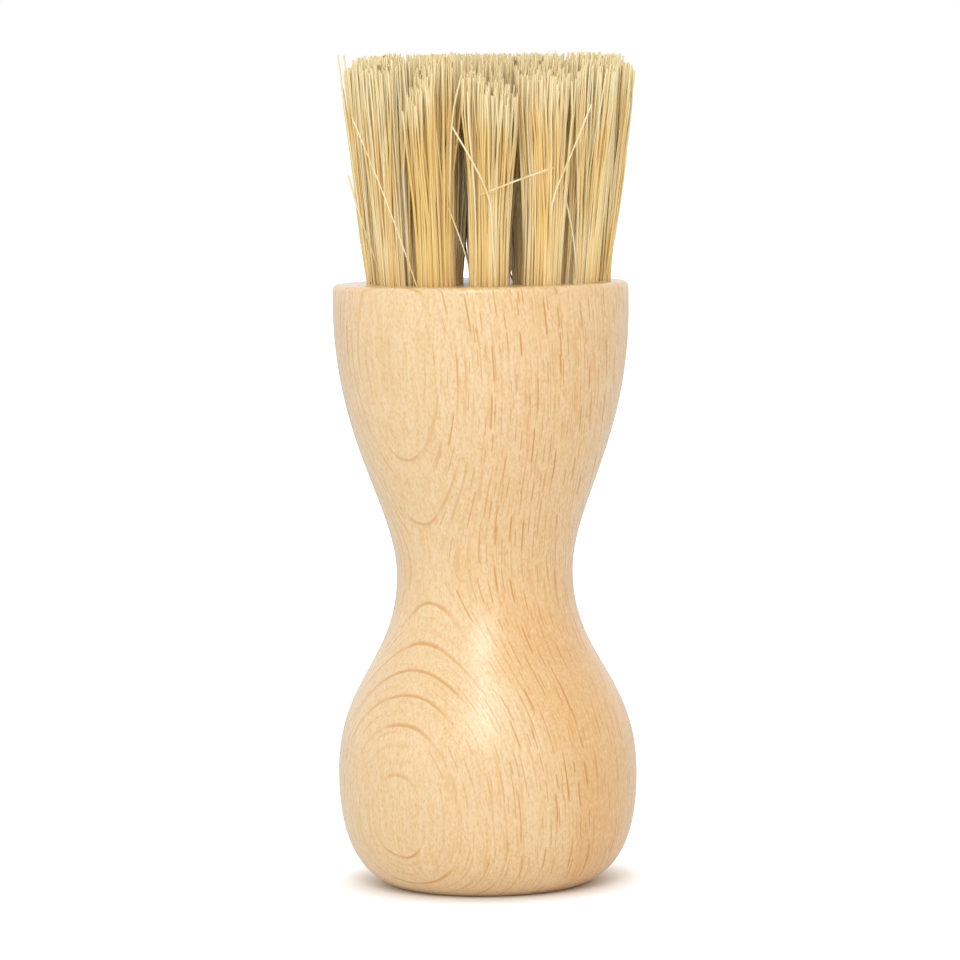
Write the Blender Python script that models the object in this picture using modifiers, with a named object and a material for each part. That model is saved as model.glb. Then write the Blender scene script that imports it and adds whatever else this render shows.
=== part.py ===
"""A wax applicator brush: a turned beech handle whose flat face holds nineteen tufts of
plant fibre, each folded over a wire anchor at the bottom of its own drilled hole.

Metres, +Z up. The origin is the centre of the foot, on which the brush stands with its
fibres upwards. The front, -Y, is where the fibres are trimmed a little shorter.
"""

import math
import random

import bmesh
import bpy
from mathutils import Matrix, Vector
from mathutils.geometry import interpolate_bezier

MM = 0.001

# The handle's outline, turned about Z: foot, bulb, waist, cup and face.
HANDLE_HEIGHT = 80.5 * MM
FOOT_RADIUS = 12.8 * MM
BULB_RADIUS = 20.0 * MM
BULB_HEIGHT = 15.0 * MM
WAIST_RADIUS = 11.8 * MM
WAIST_HEIGHT = 41.6 * MM
CUP_BELOW_FACE = 2.6 * MM
EDGE_ROUND = 0.7 * MM

# How far the ends of the outline's curves pull, as shares of the rise or run they span.
FOOT_SLOPE_SHARE = 0.34
FOOT_PULL_SHARE = 0.74
BULB_LOWER_PULL_SHARE = 0.52
BULB_UPPER_PULL_SHARE = 0.48
WAIST_LOWER_PULL_SHARE = 0.43
WAIST_UPPER_PULL_SHARE = 0.26
CUP_PULL_SHARE = 0.52

# The drilled field: a centre hole and rings of blind holes that lean outwards. Its
# centre is drilled a little off the turning centre.
HOLE_RADIUS = 2.6 * MM
HOLE_DEPTH = 11.0 * MM
DRILL_POINT = 1.0 * MM
HOLE_WEB = 1.65 * MM
FIELD_OFFSET = 1.1 * MM
RIM_WALL = 3.45 * MM
RING_NAMES = ("centre", "inner", "outer")
HOLES_PER_RING = 6
SPLAY = math.radians(4.2)
FIELD_LEAN = math.radians(1.0)

# The anchors: flat wire on edge across each hole, its ends biting into the web.
ANCHOR_THICKNESS = 0.5 * MM
ANCHOR_WIDTH = 2.0 * MM
ANCHOR_BITE_SHARE = 0.3
ANCHOR_GAP = 0.15 * MM

# The tufts: a packed root folded under the anchor, and the strands that rise from it
# and widen until neighbouring tufts nearly meet at their tips.
ROOT_GAP = 0.2 * MM
ROOT_BELOW_FACE = 0.5 * MM
FOLD_THICKNESS = 1.3 * MM
STRANDS_PER_TUFT = 24
STRAND_RADIUS = 0.3 * MM
STRAND_SIDES = 3
STRAND_EMBED = 0.6 * MM
STRAND_STRAY = 0.14 * MM
TIP_GAP = 0.3 * MM
FIBRE_LENGTH = 30.2 * MM
TRIM_UNEVENNESS = 0.8 * MM
FRONT_TRIM = 3.6 * MM
FRONT_TRIM_START = 7.5 * MM
FRONT_TRIM_RUN = 9.0 * MM

# Mesh fineness, and how far a cutter runs past what it cuts.
HANDLE_STEPS = 48
HOLE_STEPS = 16
CURVE_POINTS = 9
EDGE_POINTS = 4
SHARP_ANGLE = math.radians(40)
MERGE_DISTANCE = 0.01 * MM
CUT_OVERRUN = 1.0 * MM

# What follows from the sizes above.
RING_PITCH = 2 * HOLE_RADIUS + HOLE_WEB
FIELD_RADIUS = (len(RING_NAMES) - 1) * RING_PITCH
CUP_RADIUS = FIELD_RADIUS + HOLE_RADIUS + RIM_WALL
CUP_HEIGHT = HANDLE_HEIGHT - CUP_BELOW_FACE
ANCHOR_LENGTH = 2 * (HOLE_RADIUS + ANCHOR_BITE_SHARE * HOLE_WEB)
ANCHOR_DEPTH = HOLE_DEPTH - FOLD_THICKNESS - ANCHOR_WIDTH / 2
ROOT_RADIUS = HOLE_RADIUS - ROOT_GAP
ROOT_REACH = ROOT_RADIUS - STRAND_RADIUS
TIP_PITCH = RING_PITCH * (1 + math.tan(SPLAY) * FIBRE_LENGTH / FIELD_RADIUS)
TIP_REACH = (TIP_PITCH - TIP_GAP) / 2 - STRAND_RADIUS - STRAND_STRAY
GOLDEN_ANGLE = math.pi * (3 - math.sqrt(5))


def clear_scene():
    for obj in list(bpy.data.objects):
        bpy.data.objects.remove(obj)


def new_collection(name):
    collection = bpy.data.collections.new(name)
    bpy.context.scene.collection.children.link(collection)
    return collection


def new_material(name, colour, roughness, metallic=0.0):
    material = bpy.data.materials.new(name)
    material.use_nodes = True
    shader = material.node_tree.nodes["Principled BSDF"]
    shader.inputs["Base Color"].default_value = (*colour, 1.0)
    shader.inputs["Roughness"].default_value = roughness
    shader.inputs["Metallic"].default_value = metallic
    material.diffuse_color = (*colour, 1.0)
    return material


def new_object(name, mesh, collection, parent=None):
    obj = bpy.data.objects.new(name, mesh)
    collection.objects.link(obj)
    obj.parent = parent
    return obj


def new_cutter(name, mesh, collection, parent=None):
    obj = new_object(name, mesh, collection, parent)
    obj.hide_render = True
    obj.display_type = "WIRE"
    return obj


def add_boolean(obj, operation, other):
    modifier = obj.modifiers.new(f"{operation.title()} {other.name}", "BOOLEAN")
    modifier.operation = operation
    modifier.solver = "EXACT"
    modifier.object = other


def turned_mesh(name, profile, steps):
    """The closed solid swept by a profile of (radius, height) points, listed from the top
    of the axis, down the outside, to the bottom of the axis."""
    points = [(radius, 0.0, height) for radius, height in profile]
    edges = [(i, i + 1) for i in range(len(points) - 1)]
    outline = bpy.data.meshes.new(name + " outline")
    outline.from_pydata(points, edges, [])
    guide = new_object(outline.name, outline, bpy.context.scene.collection)
    screw = guide.modifiers.new("Turn", "SCREW")
    screw.steps = steps
    screw.render_steps = steps
    screw.use_merge_vertices = True
    screw.merge_threshold = MERGE_DISTANCE
    bpy.context.view_layer.update()
    graph = bpy.context.evaluated_depsgraph_get()
    mesh = bpy.data.meshes.new_from_object(guide.evaluated_get(graph))
    mesh.name = name
    mesh.shade_smooth()
    mesh.set_sharp_from_angle(angle=SHARP_ANGLE)
    bpy.data.objects.remove(guide)
    return mesh


def bar_mesh(name, length, thickness, width):
    """A flat bar centred on its origin: its length along X, its width upright along Z."""
    build = bmesh.new()
    size = Matrix.Diagonal((length, thickness, width, 1.0))
    bmesh.ops.create_cube(build, size=1.0, matrix=size)
    mesh = bpy.data.meshes.new(name)
    build.to_mesh(mesh)
    build.free()
    return mesh


def copies_mesh(name, mesh, matrices):
    """One mesh that holds a copy of the given one at each matrix."""
    build = bmesh.new()
    for matrix in matrices:
        placed = mesh.copy()
        placed.transform(matrix)
        build.from_mesh(placed)
        bpy.data.meshes.remove(placed)
    copies = bpy.data.meshes.new(name)
    build.to_mesh(copies)
    build.free()
    return copies


def curve_between(start, start_pull, end_pull, end):
    """Points of a Bezier curve in the (radius, height) plane, all but its last one."""
    knots = [Vector((*point, 0.0)) for point in (start, start_pull, end_pull, end)]
    points = interpolate_bezier(*knots, CURVE_POINTS)
    return [(point.x, point.y) for point in points[:-1]]


def handle_profile():
    """The outline from the middle of the face, down the outside, to the middle of the foot."""
    cup = (CUP_RADIUS, CUP_HEIGHT)
    waist = (WAIST_RADIUS, WAIST_HEIGHT)
    bulb = (BULB_RADIUS, BULB_HEIGHT)
    foot = (FOOT_RADIUS, 0.0)
    cup_rise = CUP_HEIGHT - WAIST_HEIGHT
    bulb_rise = WAIST_HEIGHT - BULB_HEIGHT
    foot_run = FOOT_PULL_SHARE * (BULB_RADIUS - FOOT_RADIUS)

    profile = [(0.0, HANDLE_HEIGHT)]
    for i in range(EDGE_POINTS + 1):
        turn = math.pi / 2 * i / EDGE_POINTS
        radius = CUP_RADIUS - EDGE_ROUND * (1 - math.sin(turn))
        height = HANDLE_HEIGHT - EDGE_ROUND * (1 - math.cos(turn))
        profile.append((radius, height))
    profile += curve_between(
        cup,
        (CUP_RADIUS, CUP_HEIGHT - CUP_PULL_SHARE * cup_rise),
        (WAIST_RADIUS, WAIST_HEIGHT + WAIST_UPPER_PULL_SHARE * cup_rise),
        waist,
    )
    profile += curve_between(
        waist,
        (WAIST_RADIUS, WAIST_HEIGHT - WAIST_LOWER_PULL_SHARE * bulb_rise),
        (BULB_RADIUS, BULB_HEIGHT + BULB_UPPER_PULL_SHARE * bulb_rise),
        bulb,
    )
    profile += curve_between(
        bulb,
        (BULB_RADIUS, BULB_HEIGHT * (1 - BULB_LOWER_PULL_SHARE)),
        (FOOT_RADIUS + foot_run, FOOT_SLOPE_SHARE * foot_run),
        foot,
    )
    return profile + [foot, (0.0, 0.0)]


def hole_profile():
    return [
        (0.0, CUT_OVERRUN),
        (HOLE_RADIUS, CUT_OVERRUN),
        (HOLE_RADIUS, -HOLE_DEPTH),
        (0.0, -HOLE_DEPTH - DRILL_POINT),
    ]


def root_profile():
    """The packed root, which fills its hole down to the drill point."""
    shoulder = ROOT_GAP - HOLE_DEPTH
    return [
        (0.0, -ROOT_BELOW_FACE),
        (ROOT_RADIUS, -ROOT_BELOW_FACE),
        (ROOT_RADIUS, shoulder),
        (0.0, shoulder - DRILL_POINT),
    ]


def hole_mouths():
    """A name and a matrix for each hole. The matrix stands in the middle of the hole's
    mouth, with Z pointing out along the hole and X across it, along the anchor."""
    centre = Vector((FIELD_OFFSET, 0.0, HANDLE_HEIGHT))
    lean = Vector((math.tan(FIELD_LEAN), 0.0, 1.0))
    for ring, ring_name in enumerate(RING_NAMES):
        count = max(1, HOLES_PER_RING * ring)
        reach = ring * RING_PITCH
        slope = math.tan(SPLAY) * reach / FIELD_RADIUS
        for k in range(count):
            angle = 2 * math.pi * k / count - math.pi / 2
            outward = Vector((math.cos(angle), math.sin(angle), 0.0))
            along = (lean + slope * outward).normalized()
            side = along.cross(outward).normalized()
            turn = Matrix((side, along.cross(side), along)).transposed().to_4x4()
            name = ring_name if count == 1 else f"{ring_name}_{k + 1:02d}"
            yield name, Matrix.Translation(centre + reach * outward) @ turn


def trimmed_length(place):
    """How far tips at this place stand out of their holes: less towards the front."""
    share = (-place.y - FRONT_TRIM_START) / FRONT_TRIM_RUN
    share = min(max(share, 0.0), 1.0)
    return FIBRE_LENGTH - FRONT_TRIM * share * share * (3 - 2 * share)


def strands_mesh(name, mouth, dice):
    """The strands of one tuft, in the frame of its hole's mouth: a sunflower spiral that
    opens evenly from the root to the tips, so that no two strands cross."""
    build = bmesh.new()
    first_turn = dice.uniform(0, 2 * math.pi)
    for k in range(STRANDS_PER_TUFT):
        turn = first_turn + k * GOLDEN_ANGLE
        share = math.sqrt((k + 0.5) / STRANDS_PER_TUFT)
        outward = share * Vector((math.cos(turn), math.sin(turn), 0.0))
        stray_turn = dice.uniform(0, 2 * math.pi)
        stray = STRAND_STRAY * Vector((math.cos(stray_turn), math.sin(stray_turn), 0.0))
        foot = ROOT_REACH * outward
        foot.z = -ROOT_BELOW_FACE - STRAND_EMBED
        tip = TIP_REACH * outward + stray
        tip.z = FIBRE_LENGTH
        tip.z = trimmed_length(mouth @ tip) - dice.uniform(0, TRIM_UNEVENNESS)
        along = tip - foot
        point_up = along.to_track_quat("Z", "X").to_matrix().to_4x4()
        roll = Matrix.Rotation(dice.uniform(0, 2 * math.pi), 4, "Z")
        bmesh.ops.create_cone(
            build,
            cap_ends=True,
            segments=STRAND_SIDES,
            radius1=STRAND_RADIUS,
            radius2=STRAND_RADIUS,
            depth=along.length,
            matrix=Matrix.Translation((foot + tip) / 2) @ point_up @ roll,
        )
    mesh = bpy.data.meshes.new(name)
    build.to_mesh(mesh)
    build.free()
    return mesh


def build_handle(mouths, parts, cutters, beech):
    """The turned handle, drilled for the tufts, each hole with a nick in either side
    where its anchor is driven in."""
    mesh = turned_mesh("handle", handle_profile(), HANDLE_STEPS)
    mesh.materials.append(beech)
    handle = new_object(mesh.name, mesh, parts)
    drill = turned_mesh("drill", hole_profile(), HOLE_STEPS)
    nick = bar_mesh(
        "nick",
        ANCHOR_LENGTH + 2 * ANCHOR_GAP,
        ANCHOR_THICKNESS + 2 * ANCHOR_GAP,
        ANCHOR_WIDTH + 2 * ANCHOR_GAP,
    )
    down = Matrix.Translation((0.0, 0.0, -ANCHOR_DEPTH))
    holes = copies_mesh("holes", drill, [mouth.matrix_world for mouth in mouths])
    nicks = copies_mesh("nicks", nick, [mouth.matrix_world @ down for mouth in mouths])
    add_boolean(handle, "DIFFERENCE", new_cutter(holes.name, holes, cutters))
    add_boolean(handle, "DIFFERENCE", new_cutter(nicks.name, nicks, cutters))


def build_tuft(name, mouth, parts, cutters, fibre, dice):
    """One tuft: its root with a slot for the anchor, and its strands fused to the root."""
    root = turned_mesh(f"tuft_{name}", root_profile(), HOLE_STEPS)
    root.materials.append(fibre)
    tuft = new_object(root.name, root, parts, mouth)
    slot = bar_mesh(
        f"slot_{name}",
        ANCHOR_LENGTH + 2 * CUT_OVERRUN,
        ANCHOR_THICKNESS + 2 * ANCHOR_GAP,
        ANCHOR_WIDTH + 2 * ANCHOR_GAP,
    )
    slot_cutter = new_cutter(slot.name, slot, cutters, mouth)
    slot_cutter.location.z = -ANCHOR_DEPTH
    add_boolean(tuft, "DIFFERENCE", slot_cutter)
    strands = strands_mesh(f"strands_{name}", mouth.matrix_world, dice)
    add_boolean(tuft, "UNION", new_cutter(strands.name, strands, cutters, mouth))


def build_anchor(name, mouth, wire, parts):
    anchor = new_object(f"anchor_{name}", wire, parts, mouth)
    anchor.location.z = -ANCHOR_DEPTH


def main():
    clear_scene()
    parts = new_collection("wax applicator brush")
    cutters = new_collection("cutters")
    beech = new_material("oiled beech", (0.80, 0.56, 0.32), 0.42)
    fibre = new_material("plant fibre", (0.72, 0.56, 0.30), 0.55)
    steel = new_material("anchor wire", (0.62, 0.62, 0.60), 0.35, 1.0)
    wire = bar_mesh("anchor wire", ANCHOR_LENGTH, ANCHOR_THICKNESS, ANCHOR_WIDTH)
    wire.materials.append(steel)

    mouths = {}
    for name, matrix in hole_mouths():
        mouth = new_object(f"mouth_{name}", None, parts)
        mouth.matrix_world = matrix
        mouths[name] = mouth
    bpy.context.view_layer.update()

    build_handle(mouths.values(), parts, cutters, beech)
    for index, (name, mouth) in enumerate(mouths.items()):
        build_tuft(name, mouth, parts, cutters, fibre, random.Random(index))
        build_anchor(name, mouth, wire, parts)


main()
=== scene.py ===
import math

import bmesh
import bpy
from mathutils import Matrix, Vector
from mathutils.geometry import interpolate_bezier


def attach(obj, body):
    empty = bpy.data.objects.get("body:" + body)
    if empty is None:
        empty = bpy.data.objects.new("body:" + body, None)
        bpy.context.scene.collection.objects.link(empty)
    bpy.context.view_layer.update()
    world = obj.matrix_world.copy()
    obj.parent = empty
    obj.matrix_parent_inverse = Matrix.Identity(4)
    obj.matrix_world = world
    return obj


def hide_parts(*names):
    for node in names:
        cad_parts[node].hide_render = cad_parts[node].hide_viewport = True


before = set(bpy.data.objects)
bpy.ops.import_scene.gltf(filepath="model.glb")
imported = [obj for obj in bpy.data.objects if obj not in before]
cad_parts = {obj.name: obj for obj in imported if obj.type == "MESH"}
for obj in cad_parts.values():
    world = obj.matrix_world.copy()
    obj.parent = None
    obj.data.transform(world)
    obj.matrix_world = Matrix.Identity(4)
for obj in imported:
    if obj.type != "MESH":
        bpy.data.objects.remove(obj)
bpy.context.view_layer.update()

# The camera: a long lens a little below the height of the fibre tips, looking slightly down
# and rolled by less than a degree, as the photograph was taken.
MM = 0.001
CAMERA_DISTANCE = 644 * MM
CAMERA_HEIGHT = 104.2 * MM
CAMERA_PITCH = math.radians(4.45)
CAMERA_YAW = math.radians(0.04)
CAMERA_ROLL = math.radians(-0.88)
FOCAL_LENGTH = 181.3
SENSOR_WIDTH = 36

camera = bpy.data.objects.new("camera", bpy.data.cameras.new("camera"))
camera.data.sensor_width = SENSOR_WIDTH
camera.data.lens = FOCAL_LENGTH
camera.location = (0, -CAMERA_DISTANCE, CAMERA_HEIGHT)
look = Matrix.Rotation(CAMERA_YAW, 3, "Z") @ Matrix.Rotation(math.pi / 2 - CAMERA_PITCH, 3, "X")
camera.rotation_euler = (look @ Matrix.Rotation(CAMERA_ROLL, 3, "Z")).to_euler()
bpy.context.scene.collection.objects.link(camera)
bpy.context.scene.camera = camera
bpy.context.scene.view_settings.view_transform = "Standard"

# The table: a sheet of white paper under the brush, which takes its soft shadow. Away from
# the brush the paper fades into a pure white background, for the camera alone.
TABLE_SIZE = 6.0
TABLE_WHITE = "#F4F3F1"
FADE_START = 12.4 * MM
FADE_END = 33 * MM


def linear(hex_colour):
    """The linear RGBA of an sRGB hex colour."""
    shares = [int(hex_colour[i:i + 2], 16) / 255 for i in (1, 3, 5)]
    return (*[s / 12.92 if s <= 0.04045 else ((s + 0.055) / 1.055) ** 2.4 for s in shares], 1.0)


def add_node(kind, feeds=(), stops=(), **settings):
    """One node in the tree at hand, with its settings. Feeds gives its inputs, in order or by
    name: each is a value, an output, or a node, whose first output in use is meant. Stops are
    the (place, colour) pairs of a colour ramp."""
    node = tree.nodes.new(kind)
    for name, value in settings.items():
        setattr(node, name, value)
    for socket, source in feeds.items() if isinstance(feeds, dict) else enumerate(feeds):
        if isinstance(source, bpy.types.Node):
            source = next(output for output in source.outputs if output.enabled)
        if isinstance(source, bpy.types.NodeSocket):
            tree.links.new(source, node.inputs[socket])
        else:
            node.inputs[socket].default_value = source
    for i, (place, colour) in enumerate(stops):
        elements = node.color_ramp.elements
        element = elements[i] if i < 2 else elements.new(place)
        element.position = place
        element.color = colour
    return node


def mask(*steps):
    """The product of smooth steps. Each step is a value, its low and high end and, where they
    aren't 0 and 1, what it gives at these."""
    product = 1.0
    for step in steps:
        share = add_node("ShaderNodeMapRange", step, interpolation_type="SMOOTHSTEP")
        product = add_node("ShaderNodeMath", (share, product), operation="MULTIPLY")
    return product


def new_material(name):
    """A material whose tree is still empty."""
    material = bpy.data.materials.new(name)
    material.use_nodes = True
    material.node_tree.nodes.clear()
    return material


table_mesh = bpy.data.meshes.new("table")
table_build = bmesh.new()
bmesh.ops.create_grid(table_build, x_segments=1, y_segments=1, size=TABLE_SIZE / 2)
table_build.to_mesh(table_mesh)
table_build.free()
table = bpy.data.objects.new("table", table_mesh)
bpy.context.scene.collection.objects.link(table)
paper = new_material("white paper")
tree = paper.node_tree
place = add_node("ShaderNodeTexCoord").outputs["Object"]
away = add_node("ShaderNodeVectorMath", (place,), operation="LENGTH")
seen = add_node("ShaderNodeLightPath").outputs["Is Camera Ray"]
lift = add_node("ShaderNodeMath", (mask((away, FADE_START, FADE_END)), seen), operation="MULTIPLY")
sheet = add_node("ShaderNodeBsdfDiffuse", {"Color": linear(TABLE_WHITE)})
glow = add_node("ShaderNodeEmission", {"Strength": lift})
both = add_node("ShaderNodeAddShader", (sheet, glow))
add_node("ShaderNodeOutputMaterial", {"Surface": both})
table.data.materials.append(paper)

# The light: a white room all round, a tall and slightly cool soft box in front, whose
# reflection is the long highlight on the shoulder of the bulb, and two weak ones at the sides.
ROOM_LIGHT = 0.75
AIM_HEIGHT = 50 * MM
LAMPS = (
    # name, way round and up in degrees, distance, width, height, power, colour
    ("front soft box", -3, 37, 0.9, 0.26, 0.49, 2.84, "#F3F8FF"),
    ("left soft box", -55, 14, 0.9, 0.5, 0.5, 0.33, "#FFFFFF"),
    ("right soft box", 58, 20, 0.9, 0.5, 0.5, 0.24, "#FFFFFF"),
)

world = bpy.data.worlds.new("white room")
bpy.context.scene.world = world
world.use_nodes = True
tree = world.node_tree
tree.nodes.clear()
rays = add_node("ShaderNodeLightPath").outputs
bare = rays["Is Camera Ray"]
for kind in ("Is Glossy Ray", "Is Transmission Ray"):
    bare = add_node("ShaderNodeMath", (bare, rays[kind]), operation="MAXIMUM")
level = add_node("ShaderNodeMapRange", (bare, 0.0, 1.0, ROOM_LIGHT, 1.0))
room = add_node("ShaderNodeBackground", {"Color": linear("#FFFFFF"), "Strength": level})
add_node("ShaderNodeOutputWorld", {"Surface": room})
for name, way_round, way_up, distance, width, height, power, colour in LAMPS:
    light = bpy.data.lights.new(name, "AREA")
    light.shape = "RECTANGLE"
    light.size = width
    light.size_y = height
    light.energy = power
    light.color = linear(colour)[:3]
    lamp = bpy.data.objects.new(name, light)
    turn = Matrix.Rotation(math.radians(way_round), 3, "Z")
    turn = turn @ Matrix.Rotation(math.radians(90 - way_up), 3, "X")
    lamp.location = Vector((0, 0, AIM_HEIGHT)) + distance * (turn @ Vector((0, 0, 1)))
    lamp.rotation_euler = turn.to_euler()
    bpy.context.scene.collection.objects.link(lamp)

# The handle: one piece of beech, turned on a lathe between its foot and its face, sanded
# and oiled, then drilled with nineteen blind holes that lean outwards. The edge of the
# face is left nearly square.
HANDLE_HEIGHT = 80.5 * MM
FOOT_RADIUS = 12.8 * MM
BULB_RADIUS = 20.0 * MM
BULB_HEIGHT = 15.0 * MM
WAIST_RADIUS = 11.8 * MM
WAIST_HEIGHT = 41.6 * MM
CUP_RADIUS = 19.75 * MM
CUP_HEIGHT = 77.9 * MM
EDGE_ROUND = 0.7 * MM
FOOT_SLOPE_SHARE = 0.34
FOOT_PULL_SHARE = 0.74
BULB_PULL_SHARES = (0.52, 0.48)
WAIST_PULL_SHARES = (0.43, 0.26)
CUP_PULL_SHARE = 0.52
CURVE_POINTS = 44
EDGE_POINTS = 8
LATHE_STEPS = 192
MERGE_DISTANCE = 0.001 * MM
SHARP_ANGLE = math.radians(30)
HOLE_RADIUS = 2.6 * MM
HOLE_DEPTH = 11.0 * MM
HOLE_PITCH = 6.85 * MM
HOLE_SIDES = 40
CUT_OVERRUN = 2 * MM
FIELD_OFFSET = 1.1 * MM
SPLAY = math.radians(4.2)
FIELD_LEAN = math.radians(1.0)


def outline():
    """The (radius, height) points of the turned outline, from face centre to foot centre."""
    foot_run = FOOT_PULL_SHARE * (BULB_RADIUS - FOOT_RADIUS)
    cup_rise = CUP_HEIGHT - WAIST_HEIGHT
    bulb_rise = WAIST_HEIGHT - BULB_HEIGHT
    pulls = (
        (CUP_RADIUS, CUP_HEIGHT),
        (CUP_RADIUS, CUP_HEIGHT - CUP_PULL_SHARE * cup_rise),
        (WAIST_RADIUS, WAIST_HEIGHT + WAIST_PULL_SHARES[1] * cup_rise),
        (WAIST_RADIUS, WAIST_HEIGHT),
        (WAIST_RADIUS, WAIST_HEIGHT - WAIST_PULL_SHARES[0] * bulb_rise),
        (BULB_RADIUS, BULB_HEIGHT + BULB_PULL_SHARES[1] * bulb_rise),
        (BULB_RADIUS, BULB_HEIGHT),
        (BULB_RADIUS, BULB_HEIGHT * (1 - BULB_PULL_SHARES[0])),
        (FOOT_RADIUS + foot_run, FOOT_SLOPE_SHARE * foot_run),
        (FOOT_RADIUS, 0.0),
    )
    points = [(0.0, HANDLE_HEIGHT)]
    for i in range(EDGE_POINTS + 1):
        turn = math.pi / 2 * i / EDGE_POINTS
        points.append((
            CUP_RADIUS - EDGE_ROUND * (1 - math.sin(turn)),
            HANDLE_HEIGHT - EDGE_ROUND * (1 - math.cos(turn)),
        ))
    for first in (0, 3, 6):
        knots = [Vector((*point, 0.0)) for point in pulls[first:first + 4]]
        points += [(p.x, p.y) for p in interpolate_bezier(*knots, CURVE_POINTS)[:-1]]
    return points + [pulls[-1], (0.0, 0.0)]


def hole_mouths():
    """For each hole its name and the matrix of its mouth: Z out along the hole, X along
    the anchor."""
    lean = Vector((math.tan(FIELD_LEAN), 0.0, 1.0))
    for ring, ring_name in enumerate(("centre", "inner", "outer")):
        count = max(1, 6 * ring)
        for k in range(count):
            angle = 2 * math.pi * k / count - math.pi / 2
            outward = Vector((math.cos(angle), math.sin(angle), 0.0))
            along = (lean + math.tan(SPLAY) * ring / 2 * outward).normalized()
            side = along.cross(outward).normalized()
            turn = Matrix((side, along.cross(side), along)).transposed().to_4x4()
            place = Vector((FIELD_OFFSET, 0.0, HANDLE_HEIGHT)) + ring * HOLE_PITCH * outward
            name = ring_name if count == 1 else f"{ring_name}_{k + 1:02d}"
            yield name, Matrix.Translation(place) @ turn


def new_tree(name, inputs):
    """A Geometry Nodes tree that takes a geometry and the named inputs, and what it is given."""
    tree = bpy.data.node_groups.new(name, "GeometryNodeTree")
    tree.interface.new_socket("Geometry", in_out="INPUT", socket_type="NodeSocketGeometry")
    for label, kind in inputs:
        tree.interface.new_socket(label, in_out="INPUT", socket_type=kind)
    tree.interface.new_socket("Geometry", in_out="OUTPUT", socket_type="NodeSocketGeometry")
    return tree, tree.nodes.new("NodeGroupInput").outputs


def end_tree(geometry):
    """The end of the tree at hand: a plain mesh in its finish."""
    whole = add_node("GeometryNodeRealizeInstances", {"Geometry": geometry})
    finished = add_node("GeometryNodeSetMaterial", {"Geometry": whole, "Material": given["Finish"]})
    add_node("NodeGroupOutput", {"Geometry": finished})


def grown(name, guide_mesh, tree, values):
    """The plain mesh that a tree makes of a guide mesh, with the values of its inputs."""
    guide = bpy.data.objects.new(name + " guide", guide_mesh)
    bpy.context.scene.collection.objects.link(guide)
    modifier = guide.modifiers.new("Grow", "NODES")
    modifier.node_group = tree
    for item in tree.interface.items_tree:
        if item.item_type == "SOCKET" and item.in_out == "INPUT" and item.name in values:
            modifier[item.identifier] = values[item.name]
    bpy.context.view_layer.update()
    graph = bpy.context.evaluated_depsgraph_get()
    mesh = bpy.data.meshes.new_from_object(guide.evaluated_get(graph))
    mesh.name = name
    bpy.data.objects.remove(guide)
    return mesh


def new_piece(name, mesh):
    """A finished piece, on the brush's one body."""
    piece = bpy.data.objects.new(name, mesh)
    bpy.context.scene.collection.objects.link(piece)
    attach(piece, "root")
    return piece


# The lathe turns an outline into a solid: a grid whose columns are the outline, swept round.
lathe, given = new_tree("lathe", (("Steps", "NodeSocketInt"), ("Finish", "NodeSocketMaterial")))
tree = lathe
feeds = {"Geometry": given["Geometry"]}
count = add_node("GeometryNodeAttributeDomainSize", feeds).outputs["Point Count"]
columns = add_node("ShaderNodeMath", (given["Steps"], 1.0), operation="ADD")
grid = add_node("GeometryNodeMeshGrid", {"Vertices X": columns, "Vertices Y": count})
index = add_node("GeometryNodeInputIndex")
row = add_node("FunctionNodeIntegerMath", (index, count), operation="MODULO")
column = add_node("FunctionNodeIntegerMath", (index, count), operation="DIVIDE")
spot = add_node("GeometryNodeInputPosition")
feeds = {"Geometry": given["Geometry"], "Value": spot, "Index": row}
profile = add_node("GeometryNodeSampleIndex", feeds, data_type="FLOAT_VECTOR")
share = add_node("ShaderNodeMath", (column, given["Steps"]), operation="DIVIDE")
angle = add_node("ShaderNodeMath", (share, 2 * math.pi), operation="MULTIPLY")
feeds = {"Vector": profile, "Angle": angle}
swept = add_node("ShaderNodeVectorRotate", feeds, rotation_type="Z_AXIS")
placed = add_node("GeometryNodeSetPosition", {"Geometry": grid, "Position": swept})
closed = add_node("GeometryNodeMergeByDistance", {"Geometry": placed, "Distance": MERGE_DISTANCE})
end_tree(closed)

# Its finish is beech, turned, sanded and oiled: pale pinkish straw, with golden growth rings
# that run as arches where the turning lies along them, brown dashes where it cuts across
# them, and a satin sheen that the pores break into fine sparkle. The plank is in millimetres.
PLANK_TURN = math.radians(127)
PLANK_TILT = math.radians(-6.8)
PITH_DISTANCE = 72.0
RING_WIDTH = 2.1
RING_PHASE = 0.40
RING_EDGE = 0.94
FINE_RING_WIDTH = 0.68
SWAY = 0.8
RIPPLE = 0.12
HEART_SWAY = 12.0
STEEPEST = 0.2
RELIEF_HEIGHT = 0.08 * MM
DASH_DEPTH_SHARE = 0.3
BEECH_PALE = "#F3D7AA"
BEECH_BODY = "#EDC990"
BEECH_AMBER = "#E5B069"
BEECH_LINE = "#D4974A"
BEECH_DASH = "#CC8A38"

beech = new_material("oiled beech")
tree = beech.node_tree
coords = add_node("ShaderNodeTexCoord").outputs
plank = Matrix.Rotation(PLANK_TILT, 3, "Y") @ Matrix.Rotation(PLANK_TURN, 3, "Z")
feeds = {"Vector": coords["Object"], "Rotation": plank.to_euler(), "Scale": (1 / MM,) * 3}
wood = add_node("ShaderNodeMapping", feeds)


def wood_noise(stretch, scale, detail=2.0, roughness=0.5, shift=(0, 0, 0)):
    """Noise in the plank's own frame: through the rings, along them, and along the grain."""
    stretched = add_node("ShaderNodeMapping", {"Vector": wood, "Scale": stretch, "Location": shift})
    feeds = {"Vector": stretched, "Scale": scale, "Detail": detail, "Roughness": roughness}
    return add_node("ShaderNodeTexNoise", feeds)


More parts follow.
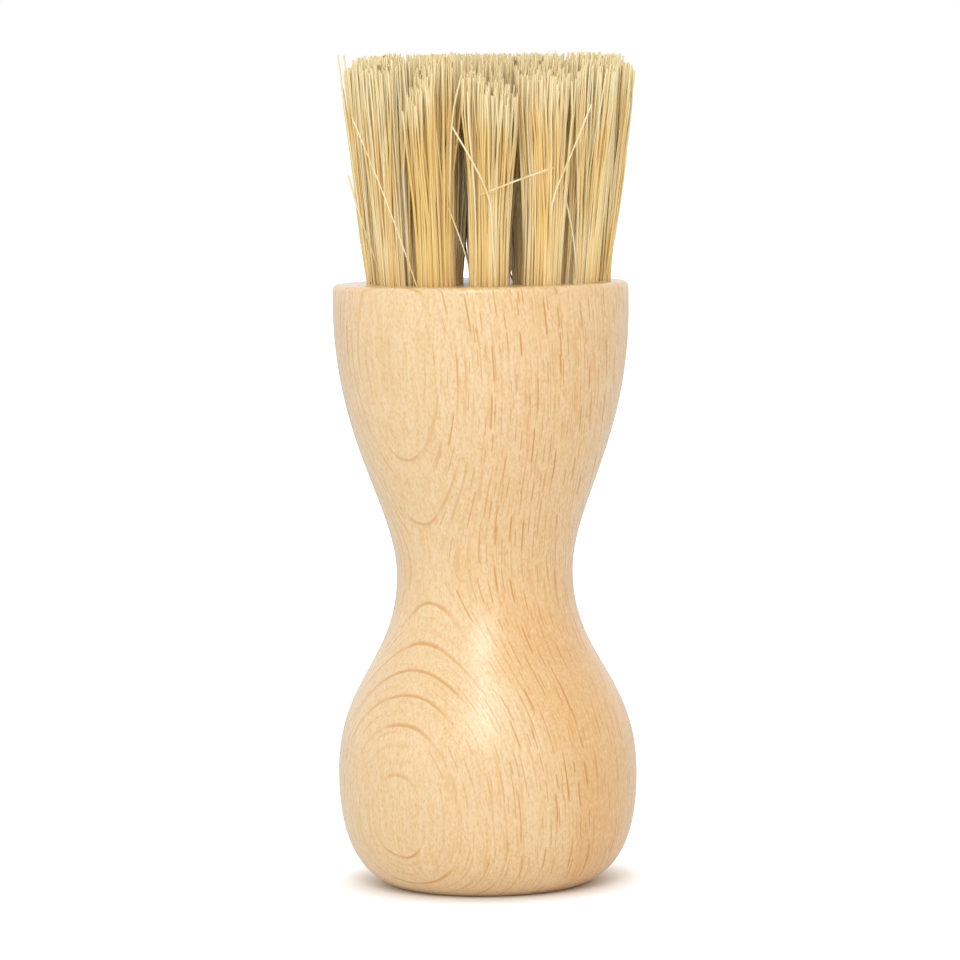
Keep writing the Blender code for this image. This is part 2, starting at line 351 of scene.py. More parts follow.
def dashes(spacing, reach, half_width, half_length, share):
    """Short marks that lie along the rings: one in each cell of the given spacing (through
    the rings) and reach (along the grain), in the given share of the cells. Their lengths
    run from half to 1.2 times the given one."""
    per_cell = (1 / spacing, 1 / (2.5 * reach), 1 / reach)
    scaled = add_node("ShaderNodeVectorMath", (ringed, per_cell), operation="MULTIPLY")
    cell = add_node("ShaderNodeTexVoronoi", {"Vector": scaled, "Scale": 1.0}).outputs
    off = add_node("ShaderNodeVectorMath", (scaled, cell["Position"]), operation="SUBTRACT")
    off = add_node("ShaderNodeVectorMath", (off,), operation="ABSOLUTE")
    off = add_node("ShaderNodeSeparateXYZ", (off,)).outputs
    luck = add_node("ShaderNodeSeparateXYZ", (cell["Color"],)).outputs
    across = add_node("ShaderNodeMath", (off["X"], slope), operation="DIVIDE")
    feeds = (luck["Y"], 0.7 * half_length / reach, 0.5 * half_length / reach)
    length = add_node("ShaderNodeMath", feeds, operation="MULTIPLY_ADD")
    along = add_node("ShaderNodeMath", (off["Z"], length), operation="DIVIDE")
    return mask(
        (across, 0.4 * half_width / spacing, half_width / spacing, 1.0, 0.0),
        (along, 0.6, 1.0, 1.0, 0.0),
        (luck["X"], 1 - share, 1.0),
    )


# The depth in the plank counts the rings, and the turning cuts them flat or steeply.
level_spot = add_node("ShaderNodeVectorMath", (wood, (1, 1, 0)), operation="MULTIPLY")
feeds = (level_spot, (PITH_DISTANCE, 0, 0))
pith = add_node("ShaderNodeVectorMath", feeds, operation="DISTANCE")
depth = add_node("ShaderNodeMath", (PITH_DISTANCE - SWAY / 2, pith), operation="SUBTRACT")
for noise, swing in ((wood_noise((1, 1, 0.3), 0.07), SWAY), (wood_noise((1, 1, 0.2), 0.5), RIPPLE)):
    depth = add_node("ShaderNodeMath", (noise, swing, depth), operation="MULTIPLY_ADD")
parts = add_node("ShaderNodeSeparateXYZ", (wood,)).outputs
ringed = add_node("ShaderNodeCombineXYZ", (depth, parts["Y"], parts["Z"]))
across_plank = Vector(plank[0])
feeds = (coords["Normal"], across_plank)
flat_cut = add_node("ShaderNodeVectorMath", feeds, operation="DOT_PRODUCT")
flat_cut = add_node("ShaderNodeMath", (flat_cut,), operation="ABSOLUTE")
line_way = add_node("ShaderNodeVectorMath", feeds, operation="CROSS_PRODUCT")
slope = add_node("ShaderNodeVectorMath", (line_way,), operation="LENGTH")
slope = add_node("ShaderNodeMath", (slope, STEEPEST), operation="MAXIMUM")
line_way = add_node("ShaderNodeVectorMath", (line_way,), operation="NORMALIZE")
upright = add_node("ShaderNodeVectorMath", (line_way, (0, 0, 1)), operation="DOT_PRODUCT")
upright = add_node("ShaderNodeMath", (upright,), operation="ABSOLUTE")
flank = mask((upright, 0.3, 0.85))

# Rings, finer rings between them, and dashes of three sizes. A ring's line fades in slowly
# and ends sharply, and is drawn no wider where the turning lies flat along it.
ring = add_node("ShaderNodeMath", (depth, 1 / RING_WIDTH, RING_PHASE), operation="MULTIPLY_ADD")
ring = add_node("ShaderNodeMath", (ring,), operation="FRACT")
ring_off = add_node("ShaderNodeMath", (ring, RING_EDGE), operation="SUBTRACT")
feeds = (ring_off, mask((slope, STEEPEST, 0.5, 0.35, 1.0)))
ring_off = add_node("ShaderNodeMath", feeds, operation="DIVIDE")
ring_line = mask(
    (ring_off, -0.14, -0.01),
    (ring_off, 0.01, 0.06, 1.0, 0.0),
    (wood_noise((1, 0.5, 0.12), 0.3, shift=(0, 7, 0)), 0.3, 0.5, 0.35, 1.0),
    (flank, 0.0, 1.0, 1.0, 0.15),
    (flat_cut, 0.97, 0.998, 1.0, 0.2),
    (parts["Z"], 36.0, 42.0, 1.0, 0.9),
)
fine = add_node("ShaderNodeMath", (depth, 1 / FINE_RING_WIDTH), operation="MULTIPLY")
fine = add_node("ShaderNodeMath", (fine,), operation="FRACT")
fine_line = mask(
    (fine, 0.55, 0.85),
    (fine, 0.9, 1.0, 1.0, 0.0),
    (wood_noise((1, 0.5, 0.15), 0.5), 0.45, 0.68),
    (flat_cut, 0.95, 0.99, 1.0, 0.3),
    (parts["Z"], 36.0, 48.0, 0.24, 0.42),
)
bold_dash = dashes(spacing=1.7, reach=6.5, half_width=0.17, half_length=2.8, share=0.95)
thin_dash = dashes(spacing=0.8, reach=4.2, half_width=0.12, half_length=2.0, share=0.9)
tiny_dash = dashes(spacing=0.4, reach=1.5, half_width=0.075, half_length=0.65, share=0.7)
strength = mask(
    (flank, 0.0, 1.0, 0.35, 1.0),
    (flat_cut, 0.93, 0.995, 1.0, 0.15),
    (depth, 12.0, 2.0, 0.8, 1.15),
)

# Pores, speckle, silk and the darker heart. Real pores are under 0.1 mm wide, too fine to show,
# so they are drawn about four times as coarse.
pores = wood_noise((1, 1, 0.7), 2.6, detail=3.0, roughness=0.7)
speckle = wood_noise((1, 1, 0.45), 3.8, detail=1.0, shift=(5, 2, 0))
silk = wood_noise((1, 1, 0.12), 1.6, detail=3.0, roughness=0.6)
cloud = wood_noise((1, 1, 0.35), 0.15, detail=3.0, shift=(3.1, 0.6, 0))
cloud = add_node("ShaderNodeMath", (cloud, HEART_SWAY, depth), operation="MULTIPLY_ADD")
heart = mask((cloud, 13.0, 6.0, 0.15, 1.0), (parts["Z"], 46.0, 34.0, 0.25, 0.8))

# Each of them colours the wood with its own weight, and the open cuts and pores roughen it.
cuts = [
    add_node("ShaderNodeMath", (dash, strength), operation="MULTIPLY")
    for dash in (tiny_dash, thin_dash, bold_dash)
]
colour = linear(BEECH_PALE)
for cover, weight, over in (
    (mask((silk, 0.3, 0.7)), 1.0, BEECH_BODY),
    (heart, 1.0, BEECH_AMBER),
    (mask((pores, 0.45, 0.68)), 0.35, BEECH_AMBER),
    (mask((speckle, 0.5, 0.66)), 0.24, BEECH_LINE),
    (mask((speckle, 0.48, 0.32)), 0.35, BEECH_PALE),
    (fine_line, 1.0, BEECH_LINE),
    (ring_line, 0.8, BEECH_LINE),
    (cuts[0], 0.4, BEECH_DASH),
    (cuts[1], 0.64, BEECH_DASH),
    (cuts[2], 0.8, BEECH_DASH),
):
    share = add_node("ShaderNodeMath", (cover, weight), operation="MULTIPLY")
    feeds = {"Factor": share, "A": colour, "B": linear(over)}
    colour = add_node("ShaderNodeMix", feeds, data_type="RGBA")
open_cut = add_node("ShaderNodeMath", (bold_dash, thin_dash), operation="MAXIMUM")
feeds = (open_cut, -DASH_DEPTH_SHARE, pores)
relief = add_node("ShaderNodeMath", feeds, operation="MULTIPLY_ADD")
bump = add_node("ShaderNodeBump", {"Height": relief, "Strength": 0.5, "Distance": RELIEF_HEIGHT})
shader = add_node("ShaderNodeBsdfPrincipled", {
    "Base Color": colour,
    "Roughness": mask((pores, 0.3, 0.7, 0.34, 0.5)),
    "IOR": 1.5,
    "Coat Weight": 1.0,
    "Coat Roughness": 0.25,
    "Normal": bump,
    "Coat Normal": bump,
})
add_node("ShaderNodeOutputMaterial", {"Surface": shader})

outline_points = [(radius, 0.0, height) for radius, height in outline()]
outline_mesh = bpy.data.meshes.new("handle outline")
outline_edges = [(i, i + 1) for i in range(len(outline_points) - 1)]
outline_mesh.from_pydata(outline_points, outline_edges, [])
turned = grown("handle turned", outline_mesh, lathe, {"Steps": LATHE_STEPS, "Finish": beech})

drill_build = bmesh.new()
for _, mouth in hole_mouths():
    bmesh.ops.create_cone(
        drill_build, cap_ends=True, segments=HOLE_SIDES, radius1=HOLE_RADIUS, radius2=HOLE_RADIUS,
        depth=HOLE_DEPTH + CUT_OVERRUN,
        matrix=mouth @ Matrix.Translation((0, 0, (CUT_OVERRUN - HOLE_DEPTH) / 2)),
    )
drill_mesh = bpy.data.meshes.new("drill")
drill_build.to_mesh(drill_mesh)
drill_build.free()
drill = bpy.data.objects.new("drill", drill_mesh)
bpy.context.scene.collection.objects.link(drill)
blank = bpy.data.objects.new("blank", turned)
bpy.context.scene.collection.objects.link(blank)
drilling = blank.modifiers.new("Drill", "BOOLEAN")
drilling.operation = "DIFFERENCE"
drilling.solver = "EXACT"
drilling.object = drill
bpy.context.view_layer.update()
graph = bpy.context.evaluated_depsgraph_get()
handle_mesh = bpy.data.meshes.new_from_object(blank.evaluated_get(graph))
handle_mesh.name = "turned_handle"
bpy.data.objects.remove(blank)
bpy.data.objects.remove(drill)
handle_mesh.shade_smooth()
handle_mesh.set_sharp_from_angle(angle=SHARP_ANGLE)
handle = new_piece("turned_handle", handle_mesh)
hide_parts("handle")

# The tufts: nineteen bundles of stiff plant fibre. Each fibre is a hairpin, folded in half
# under the anchor and pressed into its hole, so that both its ends stand up out of the face.
# The bundle spreads as it rises, in small locks, and its tips are cut nearly level.
HAIRPINS = 125
ROOT_RADIUS = 2.45 * MM
FIBRE_RADIUS = 0.16 * MM
FREE_LENGTH = 30.4 * MM
FOLD_DEPTH = 9.9 * MM
FOLD_DROP = 0.9 * MM
ANCHOR_HALF = 0.4 * MM
TIP_SPREAD = 0.3
TIP_STRAY = 1.0 * MM
LOCK_STRAY = 2.6 * MM
LOCK_WIDTH = 1.6 * MM
FIBRE_WAVE = 2.2 * MM
BOW_TURN = 1.65
TIP_TAPER = 0.2
UNEVENNESS = 1.3 * MM
FRONT_TRIM = 3.5 * MM
FRONT_TRIM_START = 9.0 * MM
FRONT_TRIM_END = 15.0 * MM
EDGE_TRIM = 2.0 * MM
EDGE_TRIM_START = 17.0 * MM
EDGE_TRIM_END = 21.0 * MM
ARM_POINTS = 7
FOLD_POINTS = 3
FIBRE_SIDES = 4
GOLDEN_ANGLE = math.pi * (3 - math.sqrt(5))
SEEDS_APART = 100
# Most tips stray by the least share of the full stray, and most fibres are cut by the full
# unevenness. The powers of the draws decide how few stray further or stand taller.
STRAY_LEAST = 0.6
STRAY_MORE = 1.3
STRAY_POWER = 6.0
TALL_POWER = 3.0
# The range of their widths and of how late they bow out, how far apart in the noise two
# neighbours wave, and how often each one waves on its way up.
WIDTH_SHARES = (0.6, 1.45)
BOW_POWERS = (0.85, 1.3)
WAVES_APART = 7.31
WAVES_UP = 1.6
# How single tufts differ. First their tips' lean to the right and backwards, in millimetres.
TUFT_LEANS = {
    "outer_02": (-0.9, 0),
    "outer_12": (0.3, 0),
    "inner_02": (-1.2, 0),
    "outer_06": (-0.8, 0),
}
# What is cut off them besides, in millimetres, and how much more of it for each millimetre to
# the right. A cut below nothing takes away from their front trim.
TUFT_CUTS = {
    "outer_12": (-2.2, -1.6),
    "outer_01": (-0.4, 0.35),
    "outer_02": (-1.2, 0.0),
}
# The upper end of their fibres' shades, lower in a more golden tuft.
TUFT_PALEST = {
    "outer_12": 0.15,
    "outer_01": 0.55,
    "outer_02": 0.65,
}
# How much later the five front tufts bow out, as many times the power of the others.
TUFT_LATENESS = {
    "outer_11": 1.6,
    "outer_12": 2.0,
    "outer_01": 2.1,
    "outer_02": 2.1,
    "outer_03": 1.8,
}


def hairpin_mesh():
    """The path of one fibre in a plane across the anchor: down one arm, round the fold, up
    the other. The arms are one metre off the anchor, so that a scale gives them their place."""
    heights = [FREE_LENGTH * i / (ARM_POINTS - 1) for i in range(ARM_POINTS)]
    arm = [(1.0, height) for height in reversed(heights)] + [(1.0, -FOLD_DEPTH)]
    fold = []
    for i in range(1, FOLD_POINTS + 1):
        turn = math.pi * i / (FOLD_POINTS + 1)
        fold.append((math.cos(turn), -FOLD_DEPTH - FOLD_DROP * math.sin(turn)))
    other = [(-across, height) for across, height in reversed(arm)]
    points = [(0.0, across, height) for across, height in arm + fold + other]
    mesh = bpy.data.meshes.new("hairpin")
    mesh.from_pydata(points, [(i, i + 1) for i in range(len(points) - 1)], [])
    return mesh


def stored(geometry, name, value, data_type="FLOAT", domain="POINT"):
    """The geometry with a value kept on it by name, and the node that reads it back."""
    feeds = {"Geometry": geometry, "Name": name, "Value": value}
    kept = add_node("GeometryNodeStoreNamedAttribute", feeds, data_type=data_type, domain=domain)
    return kept, add_node("GeometryNodeInputNamedAttribute", {"Name": name}, data_type=data_type)


def drawn(low, high, salt, data_type="FLOAT"):
    """A random value for each fibre, the same all along it. The salt sets draws apart."""
    seed = add_node("ShaderNodeMath", (given["Seed"], salt), operation="ADD")
    feeds = {"Min": low, "Max": high, "ID": fibre, "Seed": seed}
    return add_node("FunctionNodeRandomValue", feeds, data_type=data_type)


def drift(spot):
    """A smooth level shift that changes from spot to spot, up to half a unit each way."""
    feeds = {"Vector": spot, "Scale": 1.0, "Detail": 1.0}
    noise = add_node("ShaderNodeTexNoise", feeds).outputs["Color"]
    centred = add_node("ShaderNodeVectorMath", (noise, (0.5, 0.5, 0.5)), operation="SUBTRACT")
    return add_node("ShaderNodeVectorMath", (centred, (1, 1, 0)), operation="MULTIPLY")


def solid_fibres(paths, radius):
    """The paths as solid fibres, smooth round about, and the end of the tree at hand."""
    feeds = {"Resolution": FIBRE_SIDES, "Radius": 1.0}
    section = add_node("GeometryNodeCurvePrimitiveCircle", feeds)
    feeds = {"Curve": paths, "Profile Curve": section, "Scale": radius, "Fill Caps": True}
    tubes = add_node("GeometryNodeCurveToMesh", feeds)
    end_tree(add_node("GeometryNodeSetShadeSmooth", {"Geometry": tubes, "Shade Smooth": True}))


tuft_tree, given = new_tree("tuft", (
    ("Hairpins", "NodeSocketInt"),
    ("Root radius", "NodeSocketFloat"),
    ("Free length", "NodeSocketFloat"),
    ("Tip spread", "NodeSocketFloat"),
    ("Tip stray", "NodeSocketFloat"),
    ("Lock stray", "NodeSocketFloat"),
    ("Lateness", "NodeSocketFloat"),
    ("Lean", "NodeSocketVector"),
    ("Fibre radius", "NodeSocketFloat"),
    ("Wave", "NodeSocketFloat"),
    ("Unevenness", "NodeSocketFloat"),
    ("Field place", "NodeSocketVector"),
    ("Front", "NodeSocketVector"),
    ("Right", "NodeSocketVector"),
    ("Front trim", "NodeSocketFloat"),
    ("Edge trim", "NodeSocketFloat"),
    ("Own cut", "NodeSocketFloat"),
    ("Own slope", "NodeSocketFloat"),
    ("Palest", "NodeSocketFloat"),
    ("Seed", "NodeSocketInt"),
    ("Finish", "NodeSocketMaterial"),
))
tree = tuft_tree

# The hairpins stand side by side in the hole, their arms spread evenly over its round.
index = add_node("GeometryNodeInputIndex")
reach = index
for operation, second in (
    ("ADD", 0.5),
    ("DIVIDE", given["Hairpins"]),
    ("SQRT", 0.0),
    ("MULTIPLY", given["Root radius"]),
):
    reach = add_node("ShaderNodeMath", (reach, second), operation=operation)
turn = add_node("ShaderNodeMath", (index, GOLDEN_ANGLE, given["Seed"]), operation="MULTIPLY_ADD")
stand = add_node("ShaderNodeMath", (turn,), operation="COSINE")
stand = add_node("ShaderNodeMath", (reach, stand), operation="MULTIPLY")
stand = add_node("ShaderNodeCombineXYZ", (stand, 0.0, 0.0))
aside = turn
for operation, second in (
    ("SINE", 0.0),
    ("MULTIPLY", reach),
    ("ABSOLUTE", 0.0),
    ("MAXIMUM", ANCHOR_HALF),
):
    aside = add_node("ShaderNodeMath", (aside, second), operation=operation)
stretch = add_node("ShaderNodeCombineXYZ", (1.0, aside, 1.0))
roots = add_node("GeometryNodePoints", {"Count": given["Hairpins"], "Position": stand})
path = add_node("GeometryNodeMeshToCurve", {"Mesh": given["Geometry"]})
feeds = {"Points": roots, "Instance": path, "Scale": stretch}
pins = add_node("GeometryNodeInstanceOnPoints", feeds)
pins, pin = stored(pins, "pin", index, data_type="INT", domain="INSTANCE")
loose = add_node("GeometryNodeRealizeInstances", {"Geometry": pins})

# Each arm is a fibre of its own: its number, how far up it a point is, its shade and its root.
spot = add_node("GeometryNodeInputPosition")
here = add_node("ShaderNodeSeparateXYZ", (spot,)).outputs
arm = add_node("ShaderNodeMath", (here["Y"], 0.0), operation="GREATER_THAN")
number = add_node("ShaderNodeMath", (pin, 2.0, arm), operation="MULTIPLY_ADD")
loose, fibre = stored(loose, "fibre", number, data_type="INT")
height = add_node("ShaderNodeMath", (here["Z"], given["Free length"]), operation="DIVIDE")
loose, rise = stored(loose, "rise", add_node("ShaderNodeClamp", {"Value": height}))
loose, tone = stored(loose, "tone", drawn(0.0, given["Palest"], salt=14))
root = add_node("ShaderNodeVectorMath", (spot, (1, 1, 0)), operation="MULTIPLY")
loose, root_spot = stored(loose, "root", root, data_type="FLOAT_VECTOR")

# How far its tip moves aside: with the tuft's spread and lean, on its own, and in its lock.
feeds = (root_spot, given["Tip spread"], given["Lean"])
tip_shift = add_node("ShaderNodeVectorMath", feeds, operation="MULTIPLY_ADD")
luck = add_node("ShaderNodeMath", (drawn(0.0, 1.0, salt=16), STRAY_POWER), operation="POWER")
luck = add_node("ShaderNodeMath", (luck, STRAY_MORE, STRAY_LEAST), operation="MULTIPLY_ADD")
luck = add_node("ShaderNodeMath", (luck, given["Tip stray"]), operation="MULTIPLY")
stray_way = drawn((-1, -1, 0), (1, 1, 0), salt=11, data_type="FLOAT_VECTOR")
tip_shift = add_node("ShaderNodeVectorMath", (stray_way, luck, tip_shift), operation="MULTIPLY_ADD")
layer = add_node("ShaderNodeCombineXYZ", (0.0, 0.0, given["Seed"]))
feeds = (root_spot, (1 / LOCK_WIDTH,) * 3, layer)
lock_spot = add_node("ShaderNodeVectorMath", feeds, operation="MULTIPLY_ADD")
feeds = (drift(lock_spot), given["Lock stray"], tip_shift)
tip_shift = add_node("ShaderNodeVectorMath", feeds, operation="MULTIPLY_ADD")
tip_spot = add_node("ShaderNodeVectorMath", (root_spot, tip_shift), operation="ADD")

# What is cut off it: more at the front and at the rim, by the tuft's own cut, and unevenly.
field_spot = add_node("ShaderNodeVectorMath", (tip_spot, given["Field place"]), operation="ADD")
front = add_node("ShaderNodeVectorMath", (field_spot, given["Front"]), operation="DOT_PRODUCT")
right = add_node("ShaderNodeVectorMath", (tip_spot, given["Right"]), operation="DOT_PRODUCT")
edge = add_node("ShaderNodeVectorMath", (field_spot, (1, 1, 0)), operation="MULTIPLY")
edge = add_node("ShaderNodeVectorMath", (edge,), operation="LENGTH")
short = add_node("ShaderNodeMath", (drawn(0.0, 1.0, salt=13), TALL_POWER), operation="POWER")
short = add_node("ShaderNodeMath", (1.0, short), operation="SUBTRACT")
cut = given["Own cut"]
for share, most in (
    (mask((front, FRONT_TRIM_START, FRONT_TRIM_END)), given["Front trim"]),
    (mask((edge, EDGE_TRIM_START, EDGE_TRIM_END)), given["Edge trim"]),
    (right, given["Own slope"]),
):
    cut = add_node("ShaderNodeMath", (share, most, cut), operation="MULTIPLY_ADD")
cut = add_node("ShaderNodeMath", (cut, 0.0), operation="MAXIMUM")
cut = add_node("ShaderNodeMath", (short, given["Unevenness"], cut), operation="MULTIPLY_ADD")

# It leaves its hole straight, bows out to its tip and waves a little on the way.
feeds = (drawn(*BOW_POWERS, salt=12), given["Lateness"])
late = add_node("ShaderNodeMath", feeds, operation="MULTIPLY")
bow = rise
for operation, second in (("POWER", late), ("MULTIPLY", BOW_TURN), ("SINE", 0.0)):
    bow = add_node("ShaderNodeMath", (bow, second), operation=operation)
along = add_node("ShaderNodeMath", (fibre, WAVES_APART), operation="MULTIPLY")
upward = add_node("ShaderNodeMath", (rise, WAVES_UP), operation="MULTIPLY")
wave_spot = add_node("ShaderNodeCombineXYZ", (along, 0.0, upward))
swing = add_node("ShaderNodeMath", (rise, given["Wave"]), operation="MULTIPLY")
drop = add_node("ShaderNodeMath", (rise, cut), operation="MULTIPLY")
drop = add_node("ShaderNodeMath", (drop, -1.0), operation="MULTIPLY")
bend = add_node("ShaderNodeCombineXYZ", (0.0, 0.0, drop))
for shift, size in ((drift(wave_spot), swing), (tip_shift, bow)):
    bend = add_node("ShaderNodeVectorMath", (shift, size, bend), operation="MULTIPLY_ADD")
bent = add_node("GeometryNodeSetPosition", {"Geometry": loose, "Offset": bend})
taper = add_node("ShaderNodeMath", (rise, -TIP_TAPER, 1.0), operation="MULTIPLY_ADD")
feeds = (drawn(*WIDTH_SHARES, salt=15), taper)
thickness = add_node("ShaderNodeMath", feeds, operation="MULTIPLY")
feeds = (thickness, given["Fibre radius"])
solid_fibres(bent, add_node("ShaderNodeMath", feeds, operation="MULTIPLY"))

# Their finish is tampico, the split leaf fibre of an agave, dry and springy: from pale cream
# through straw to honey, each fibre its own shade, with painted shade where it leaves the wood,
# paler at the freshly cut tip, partly painted light from above, and now and then a burnt end.
FIBRE_CREAM = "#FDEDC2"
FIBRE_STRAW = "#FBE4AC"
FIBRE_HONEY = "#F0CB7C"
# A paler tip colour, partly the cut ends and partly painted light from above.
FIBRE_PALE_TIP_AND_LIGHT = "#FFF0C4"
# Painted shade at the roots, where the fibres crowd together above the wood.
FIBRE_ROOT_SHADE = "#E3BF82"
FIBRE_BURNT = "#8A6A3C"
# Darker flecks, about 2 mm across and 17 mm long, so that neighbours darken together.
FLECKS_PER_METRE = (0.5 / MM, 0.5 / MM, 0.06 / MM)
# The shuffle takes the burnt ends from among all the shades.
BURNT_SHUFFLE = 37.0
BURNT_SHARE = 0.02

tampico = new_material("tampico fibre")
tree = tampico.node_tree
tone = add_node("ShaderNodeAttribute", attribute_name="tone").outputs["Fac"]
rise = add_node("ShaderNodeAttribute", attribute_name="rise").outputs["Fac"]
shades = (
    (0.0, linear(FIBRE_HONEY)),
    (1.0, linear(FIBRE_CREAM)),
    (0.3, linear(FIBRE_STRAW)),
    (0.75, linear(FIBRE_CREAM)),
)
colour = add_node("ShaderNodeValToRGB", {"Fac": tone}, stops=shades)
place = add_node("ShaderNodeTexCoord").outputs["Object"]
long_spots = add_node("ShaderNodeMapping", {"Vector": place, "Scale": FLECKS_PER_METRE})
fleck = add_node("ShaderNodeTexNoise", {"Vector": long_spots, "Scale": 1.0, "Detail": 2.0})
marked = add_node("ShaderNodeMath", (tone, BURNT_SHUFFLE), operation="MULTIPLY")
marked = add_node("ShaderNodeMath", (marked,), operation="FRACT")
marked = add_node("ShaderNodeMath", (marked, 1 - BURNT_SHARE), operation="GREATER_THAN")
for share, over in (
    (mask((fleck, 0.42, 0.7, 0.0, 0.7)), FIBRE_HONEY),
    # Paler towards the cut tips, partly painted light from above.
    (mask((rise, 0.75, 0.97, 0.0, 0.7)), FIBRE_PALE_TIP_AND_LIGHT),
    # Painted shade: the fibres darkened where they leave the wood.
    (mask((rise, 0.0, 0.2, 0.35, 0.0)), FIBRE_ROOT_SHADE),
    (mask((rise, 0.975, 0.985, 0.0, 0.8), (marked, 0.0, 1.0)), FIBRE_BURNT),
):
    feeds = {"Factor": share, "A": colour, "B": linear(over)}
    colour = add_node("ShaderNodeMix", feeds, data_type="RGBA")
feeds = {"Base Color": colour, "Roughness": 0.5, "IOR": 1.5, "Specular IOR Level": 0.25}
shader = add_node("ShaderNodeBsdfPrincipled", feeds)
add_node("ShaderNodeOutputMaterial", {"Surface": shader})

for number, (name, mouth) in enumerate(hole_mouths()):
    into_tuft = mouth.to_3x3().inverted()
    tip_place = mouth @ Vector((0, 0, FREE_LENGTH))
    tip_place.x -= FIELD_OFFSET + math.tan(FIELD_LEAN) * FREE_LENGTH
    own_cut, own_slope = TUFT_CUTS.get(name, (0.0, 0.0))
    fibres = grown(f"fibres_{name}", hairpin_mesh(), tuft_tree, {
        "Hairpins": HAIRPINS,
        "Root radius": ROOT_RADIUS,
        "Free length": FREE_LENGTH,
        "Tip spread": TIP_SPREAD,
        "Tip stray": TIP_STRAY,
        "Lock stray": LOCK_STRAY,
        "Lateness": TUFT_LATENESS.get(name, 1.0),
        "Fibre radius": FIBRE_RADIUS,
        "Wave": FIBRE_WAVE,
        "Unevenness": UNEVENNESS,
        "Lean": into_tuft @ Vector((*TUFT_LEANS.get(name, (0, 0)), 0)) * MM,
        "Field place": into_tuft @ Vector((tip_place.x, tip_place.y, 0)),
        "Front": into_tuft @ Vector((0, -1, 0)),
        "Right": into_tuft @ Vector((1, 0, 0)),
        "Front trim": FRONT_TRIM,
        "Edge trim": EDGE_TRIM,
        "Own cut": own_cut * MM,
        "Own slope": own_slope,
        "Palest": TUFT_PALEST.get(name, 1.0),
        "Seed": SEEDS_APART * number,
        "Finish": tampico,
    })
    fibres.transform(mouth)
    tuft = new_piece(f"fibres_{name}", fibres)
    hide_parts(f"tuft_{name}")

# The anchors: short lengths of flattened steel wire, driven across the folds until their
# ends bite into the wood. Plain drawn steel, dull grey with fine lines along it.
WIRE_GREY = "#B9B9B4"
WIRE_DARK = "#8E8E8A"

wire = new_material("flattened steel wire")
tree = wire.node_tree
place = add_node("ShaderNodeTexCoord").outputs["Object"]
stretched = add_node("ShaderNodeMapping", {"Vector": place, "Scale": (1 / MM, 1 / MM, 14 / MM)})
lines = add_node("ShaderNodeTexNoise", {"Vector": stretched, "Scale": 1.0})
feeds = {
    "Factor": mask((lines, 0.3, 0.7, 0.0, 0.35)),
    "A": linear(WIRE_GREY),
    "B": linear(WIRE_DARK),
}
grey = add_node("ShaderNodeMix", feeds, data_type="RGBA")
dullness = mask((lines, 0.3, 0.7, 0.3, 0.5))
feeds = {"Base Color": grey, "Metallic": 1.0, "Roughness": dullness}
shader = add_node("ShaderNodeBsdfPrincipled", feeds)
add_node("ShaderNodeOutputMaterial", {"Surface": shader})
for name, _ in hole_mouths():
    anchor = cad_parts[f"anchor_{name}"]
    anchor.data.materials.clear()
    anchor.data.materials.append(wire)

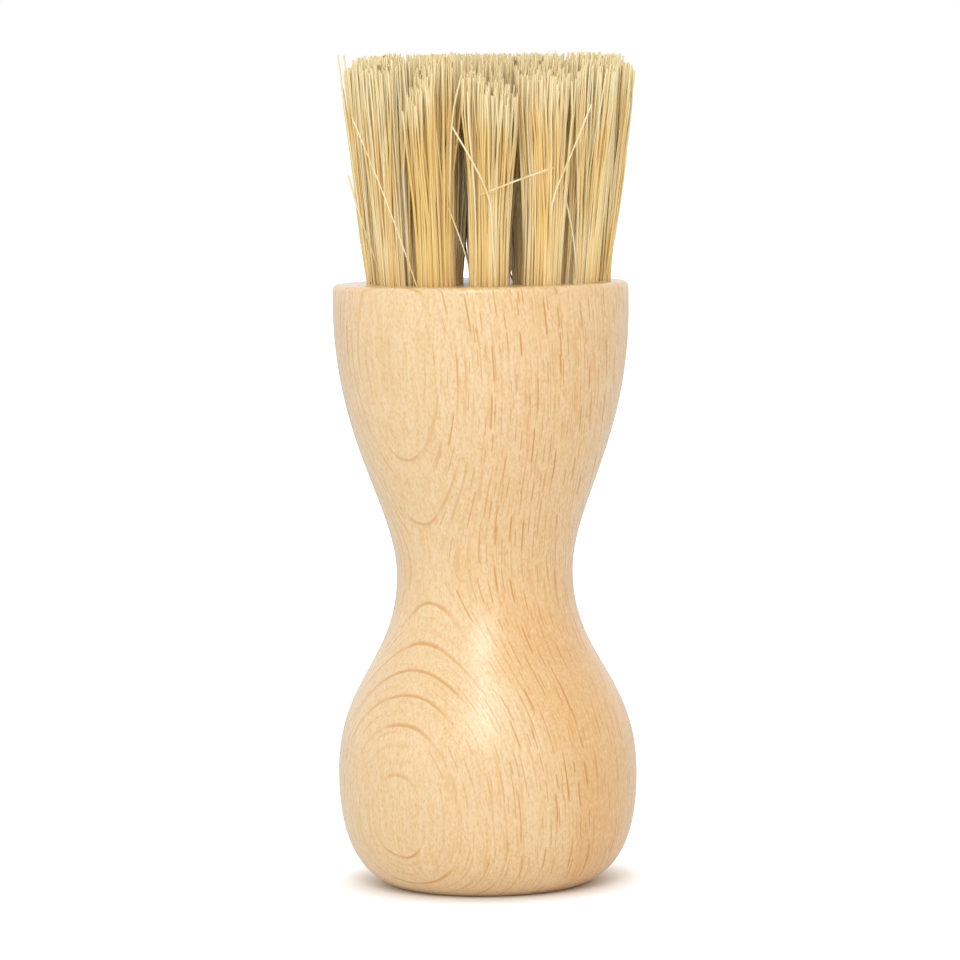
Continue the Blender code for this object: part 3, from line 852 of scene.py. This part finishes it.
# The stray fibres: a few fibres of the same kind that have sprung out of their tufts, lean
# across their neighbours or lie caught between them. Each path runs up to a tip, in mm.
STRAY_PATHS = (
    ((-7.9, -12.3, 79), (-8.6, -12.9, 81.5), (-12.2, -13.2, 92), (-16.4, -12.8, 102.7)),
    ((-12.7, -2.2, 79), (-13.3, -3.0, 82), (-15.7, -4.6, 89.5), (-17.2, -5.2, 95)),
    ((0.2, -16.9, 92.4), (2.4, -18.3, 93.3), (6.0, -17.6, 94.6), (9.8, -15.0, 95.8)),
    (
        (8.9, -13.6, 79), (9.2, -14.8, 86), (9.6, -15.6, 91.6), (11.9, -15.2, 97.1),
        (14.8, -13.8, 103.9),
    ),
    ((1.9, -15.4, 79), (1.7, -16.9, 86), (1.0, -18.2, 92.9), (-3.4, -17.9, 101.4)),
    ((-3.7, -12.4, 79), (-3.8, -14.4, 92), (-3.3, -16.2, 102.3), (-2.0, -16.6, 107.9)),
    ((-1.0, -12.4, 79), (-1.6, -13.0, 83.5), (-3.1, -13.8, 88.3), (-4.4, -14.2, 91.5)),
    ((12.6, -9.0, 79), (12.3, -10.4, 86), (10.6, -12.9, 95), (9.4, -14.6, 101)),
    ((-12.9, 2.0, 79), (-15.2, 2.4, 90), (-16.9, 2.2, 99), (-17.9, 1.6, 106.5)),
    ((15.6, 2.2, 79), (17.9, 3.0, 90), (19.4, 3.2, 99), (20.4, 2.6, 105.5)),
    ((-9.0, 7.4, 79), (-12.5, 9.6, 92), (-14.9, 12.9, 103), (-15.6, 14.6, 108)),
    ((8.4, 13.9, 79), (6.2, 15.6, 90), (1.6, 17.3, 100), (-0.6, 17.6, 106)),
    # The next three stand clear of the field at its left and right.
    ((-14.6, -0.8, 79), (-15.6, -1.3, 88), (-17.1, -2.0, 100), (-18.4, -2.4, 110.9)),
    ((-14.4, 0.9, 79), (-15.2, 1.2, 88), (-16.4, 1.4, 100), (-17.7, 1.5, 110.9)),
    ((16.6, -0.6, 79), (17.8, -1.0, 88), (19.3, -1.4, 99), (20.2, -1.6, 108.5)),
    # The last four stand in the gap between the front tufts.
    ((5.0, -4.6, 79), (4.3, -5.0, 81.5), (4.0, -5.3, 88), (3.6, -5.8, 99)),
    ((5.0, -3.4, 79), (4.5, -3.4, 80.5), (4.0, -3.4, 81.3), (3.97, -3.4, 84), (4.2, -3.3, 98)),
    ((3.35, -6.3, 79), (3.68, -6.2, 80.6), (3.95, -6.1, 81.8), (4.1, -6.0, 86), (4.4, -5.8, 100)),
    ((5.1, -2.8, 79), (4.4, -2.6, 81.0), (4.55, -2.5, 88), (4.3, -2.4, 100)),
)
STRAY_RADIUS = 0.13 * MM
STRAY_POINTS = 14
STRAY_TONE = 0.95

tree, given = new_tree("stray", (
    ("Fibre radius", "NodeSocketFloat"),
    ("Points", "NodeSocketInt"),
    ("Finish", "NodeSocketMaterial"),
))
path = add_node("GeometryNodeMeshToCurve", {"Mesh": given["Geometry"]})
path = add_node("GeometryNodeCurveSplineType", {"Curve": path}, spline_type="CATMULL_ROM")
path = add_node("GeometryNodeResampleCurve", {"Curve": path, "Count": given["Points"]})
path, _ = stored(path, "rise", add_node("GeometryNodeSplineParameter"))
path, _ = stored(path, "tone", STRAY_TONE)
solid_fibres(path, given["Fibre radius"])

points = []
edges = []
for path_points in STRAY_PATHS:
    edges += [(len(points) + i, len(points) + i + 1) for i in range(len(path_points) - 1)]
    points += [tuple(value * MM for value in point) for point in path_points]
stray_paths = bpy.data.meshes.new("stray paths")
stray_paths.from_pydata(points, edges, [])
values = {"Fibre radius": STRAY_RADIUS, "Points": STRAY_POINTS, "Finish": tampico}
new_piece("stray_fibres", grown("stray_fibres", stray_paths, tree, values))
